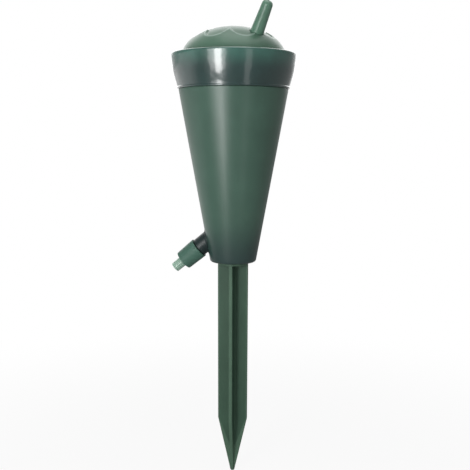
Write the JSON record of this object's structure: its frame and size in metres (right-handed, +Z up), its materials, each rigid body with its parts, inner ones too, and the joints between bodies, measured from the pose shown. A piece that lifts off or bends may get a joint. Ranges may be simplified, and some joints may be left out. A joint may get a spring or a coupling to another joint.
{
  "type": "plant waterer",
  "caption": "Conical green water reservoir on a cross-shaped ground spike, with a glossy mouth band, a domed lid with a tilted vent peg, and a screw drip valve low on one side.",
  "frame": {"origin": "on the reservoir's axis at the soil line, 20 mm below the underside of the reservoir", "axes": "+Z up along the reservoir's and spike's axis; the drip valve points towards -X"},
  "size_m": [0.0854, 0.085, 0.321],
  "materials": {
    "spike_green": "satin moulded",
    "reservoir_green": "fine matte grain",
    "band_gloss": "polished",
    "lid_green": "fine matte grain",
    "peg_gloss": "polished",
    "valve_black": "satin black",
    "seal_rubber": "matte black rubber",
    "natural_plastic": "natural",
    "knob_green": "satin moulded",
    "tip_clear": "pale translucent"
  },
  "bodies": {
    "spike": {"ground_spike": "spike_green"},
    "reservoir": {"reservoir_cone": "reservoir_green", "rim_band": "band_gloss", "valve_body": "valve_black", "valve_body_seal": "seal_rubber", "valve_lock_nut": "valve_black", "inlet_strainer": "natural_plastic", "knob_o_ring": "seal_rubber"},
    "lid_seal": {"lid_seal": "seal_rubber"},
    "lid": {"lid_dome": "lid_green"},
    "vent_peg": {"vent_peg": "peg_gloss", "peg_o_ring": "seal_rubber"},
    "drip_tip": {"drip_tip": "tip_clear", "drip_needle": "natural_plastic"},
    "drip_knob": {"drip_knob": "knob_green"}
  },
  "joints": [
    {"name": "reservoir_lift", "type": "slide", "parent": "spike", "child": "reservoir", "axis": [0, 0, 1], "range_m": [0, 0.03]},
    {"name": "lid_lift", "type": "slide", "parent": "reservoir", "child": "lid_seal", "axis": [0, 0, 1], "range_m": [0, 0.06]},
    {"name": "lid_turn", "type": "hinge", "parent": "lid_seal", "child": "lid", "pos_m": [0, 0, 0.16], "axis": [0, 0, 1], "continuous": true},
    {"name": "vent_peg_pull", "type": "slide", "parent": "lid", "child": "vent_peg", "axis": [0.3887, -0.3625, 0.847], "range_m": [0, 0.014]},
    {"name": "drip_travel", "type": "slide", "parent": "reservoir", "child": "drip_tip", "axis": [-0.766, 0, -0.6428], "range_m": [0, 0.00225]},
    {"name": "knob_turn", "type": "hinge", "parent": "drip_tip", "child": "drip_knob", "pos_m": [-0.01811, 0, 0.0338], "axis": [-0.766, 0, -0.6428], "range_deg": [0, 540]}
  ],
  "couplings": [
    {"joint": "knob_turn", "follows": "drip_travel", "rad_per_m": 4188.8}
  ]
}
